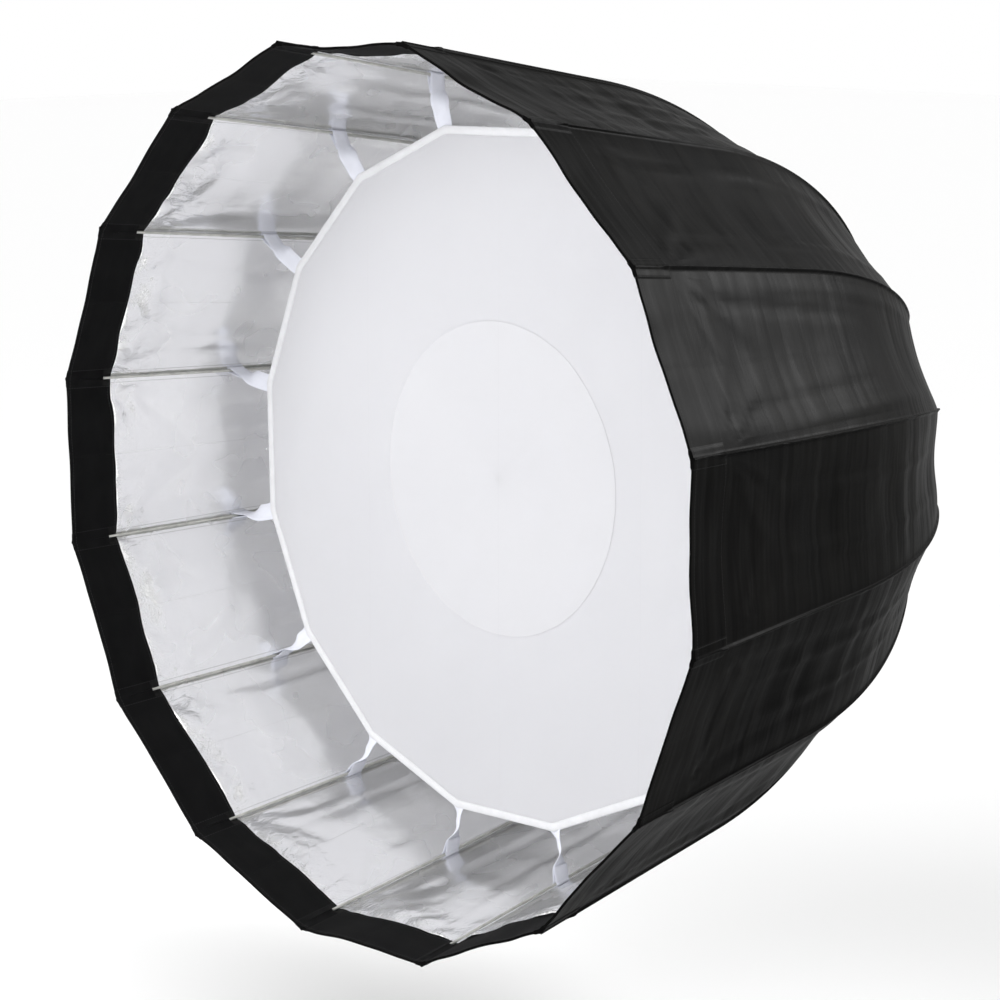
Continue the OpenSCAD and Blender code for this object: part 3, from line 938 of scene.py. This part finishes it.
def add_patch(k, turns):
    """A sector of the second layer of cloth sewn over the centre."""
    out, across = rib_turn(k)
    points, uv = [], []
    for front in (True, False):
        for r in (0.0, 0.05, 0.1, 0.15, PATCH_R - 0.004, PATCH_R - 0.0005, PATCH_R):
            for turn in turns:
                p = r * (math.cos(turn) * out + math.sin(turn) * across)
                rounded = PATCH_ROUND if r >= PATCH_R else 0.0
                p[1] = DIFFUSER_FRONT + slack_at(p[0], p[2]) + (rounded - PATCH_T if front else -0.0002)
                points.append(p)
                uv.append((r * turn, r))
    rings = len(points) // (2 * len(turns))
    patch = build(f"centre_patch_{k:02d}", points, grid_box(rings, len(turns)), None, (PATCH,), uv)
    set_normals(patch, slack_normals(points), 2 * (rings - 1) * (len(turns) - 1))
    finish_diffuser_piece(patch, "centre_patch")


# ---------------------------------------------------------------- straps
# Each strap starts behind the hem, twists to a loop round the rod, and ends in a short tail
STRAP_HALF_W = 0.0125
STRAP_T = 0.0011
STRAP_EDGE = 0.3
STRAP_COLUMNS = (-1, -0.96, -0.5, 0, 0.5, 0.96, 1)
STRAP_INSET = 0.010
STRAP_BEHIND = 0.0027
STRAP_BOW = 0.004
STRAP_SIDE = -1
LOOP_R = ROD_R + 0.0009
LOOP_NECK = 0.013
TAIL_LEN = 0.020


def strap_path(k):
    """Centre, width direction and half width along a strap, from the corner, round the rod and back."""
    out, across = rib_turn(k)
    s_rod = LENGTH + (DIFFUSER_FRONT - MOUTH_Y) / -math.cos(TIP_ANGLE)
    radius, y, _ = rib_axis(s_rod)
    rod = radius * out + y * AXIS
    rod_way = math.sin(TIP_ANGLE) * out - math.cos(TIP_ANGLE) * AXIS
    start = (DIFFUSER_R - STRAP_INSET) * out + (DIFFUSER_FRONT + STRAP_BEHIND) * AXIS
    lowest = -out[2]
    limp = float(smoothstep(lowest, 0.55, 0.95))
    stations = []
    near = rod - out * (LOOP_R + LOOP_NECK)
    for t in np.linspace(0, 1, 14):
        c = start * (1 - t) + near * t
        c = c + across * STRAP_SIDE * STRAP_BOW * math.sin(math.pi * t) * (0.4 + limp)
        first_turn = math.radians(18 + 14 * limp) * float(smoothstep(t, 0.0, 0.35))
        turn = first_turn + (math.pi / 2 - first_turn) * float(smoothstep(t, 0.5, 0.97))
        w = math.cos(turn) * across * STRAP_SIDE + math.sin(turn) * rod_way
        pinch = 1 - (0.02 + 0.25 * limp) * math.exp(-(((t - 0.45) / 0.26) ** 2))
        stations.append((c, w, STRAP_HALF_W * pinch))
    flat = np.cross(rod_way, out)
    for a in np.linspace(0.25 * math.pi, 1.75 * math.pi, 13):
        c = rod - LOOP_R * math.cos(a) * out + STRAP_SIDE * LOOP_R * math.sin(a) * flat
        stations.append((c, rod_way, STRAP_HALF_W))
    for t in np.linspace(0.2, 1, 5):
        aside = LOOP_R * 0.7 * (1 - t) + 0.0016 + 0.002 * t * t
        c = rod - out * (LOOP_R * 0.7 + t * TAIL_LEN) - STRAP_SIDE * flat * aside
        stations.append((c, rod_way, STRAP_HALF_W))
    return stations


def add_straps():
    """A tape along each strap's path, thinner at its edges."""
    for k in range(1, RIBS + 1):
        stations = strap_path(k)
        centres = np.array([c for c, _, _ in stations])
        ways = np.gradient(centres, axis=0)
        points, uv = [], []
        for front in (1, -1):
            run = 0.0
            for j, (c, w, half) in enumerate(stations):
                if j:
                    run += float(np.linalg.norm(centres[j] - centres[j - 1]))
                way = ways[j] / np.linalg.norm(ways[j])
                w = w - way * (w @ way)
                w = w / np.linalg.norm(w)
                normal = np.cross(way, w)
                for step in STRAP_COLUMNS:
                    thick = STRAP_T / 2 * (STRAP_EDGE if abs(step) == 1 else 1)
                    points.append(c + step * half * w + front * thick * normal)
                    uv.append((step * half, run))
        faces = grid_box(len(stations), len(STRAP_COLUMNS))
        strap = build(f"strap_{k:02d}", points, faces, None, (STRAP,), uv)
        finish_diffuser_piece(strap, "diffuser_straps")


# ---------------------------------------------------------------- hub and mount
def dress(node, material):
    """Gives a CAD node its finished material."""
    for slot in frame["nodes"][node].material_slots:
        slot.link = "OBJECT"
        slot.material = material


def dress_hub():
    """The finishes of the hub, the mount, the knob and the rib feet."""
    turned = metal("turned_aluminium", (0.72, 0.72, 0.73), 0.28)
    satin = metal("satin_aluminium", (0.32, 0.32, 0.33), 0.42)
    anodised = metal("black_anodised", (0.025, 0.025, 0.027), 0.42, 0.6)
    powder = metal("powder_coat", (0.03, 0.03, 0.03), 0.55, 0.2)
    steel = metal("bright_steel", (0.62, 0.62, 0.62), 0.25)
    dark_steel = metal("blackened_steel", (0.06, 0.06, 0.06), 0.38, 0.9)
    plastic = moulded("knob_plastic", (0.02, 0.02, 0.02), 0.5)
    finishes = {
        "mount_ring": turned, "retaining_ring": anodised, "hub_plate": satin, "hub_cover": anodised,
        "hinge_pins": steel, "cover_screws": dark_steel, "lock_knob": plastic,
    }
    for node, material in finishes.items():
        dress(node, material)
    for k in range(1, RIBS + 1):
        dress(f"rib_foot_{k:02d}", powder)


add_camera()
add_stage()
add_canopy()
add_rods()
add_diffuser()
add_straps()
dress_hub()
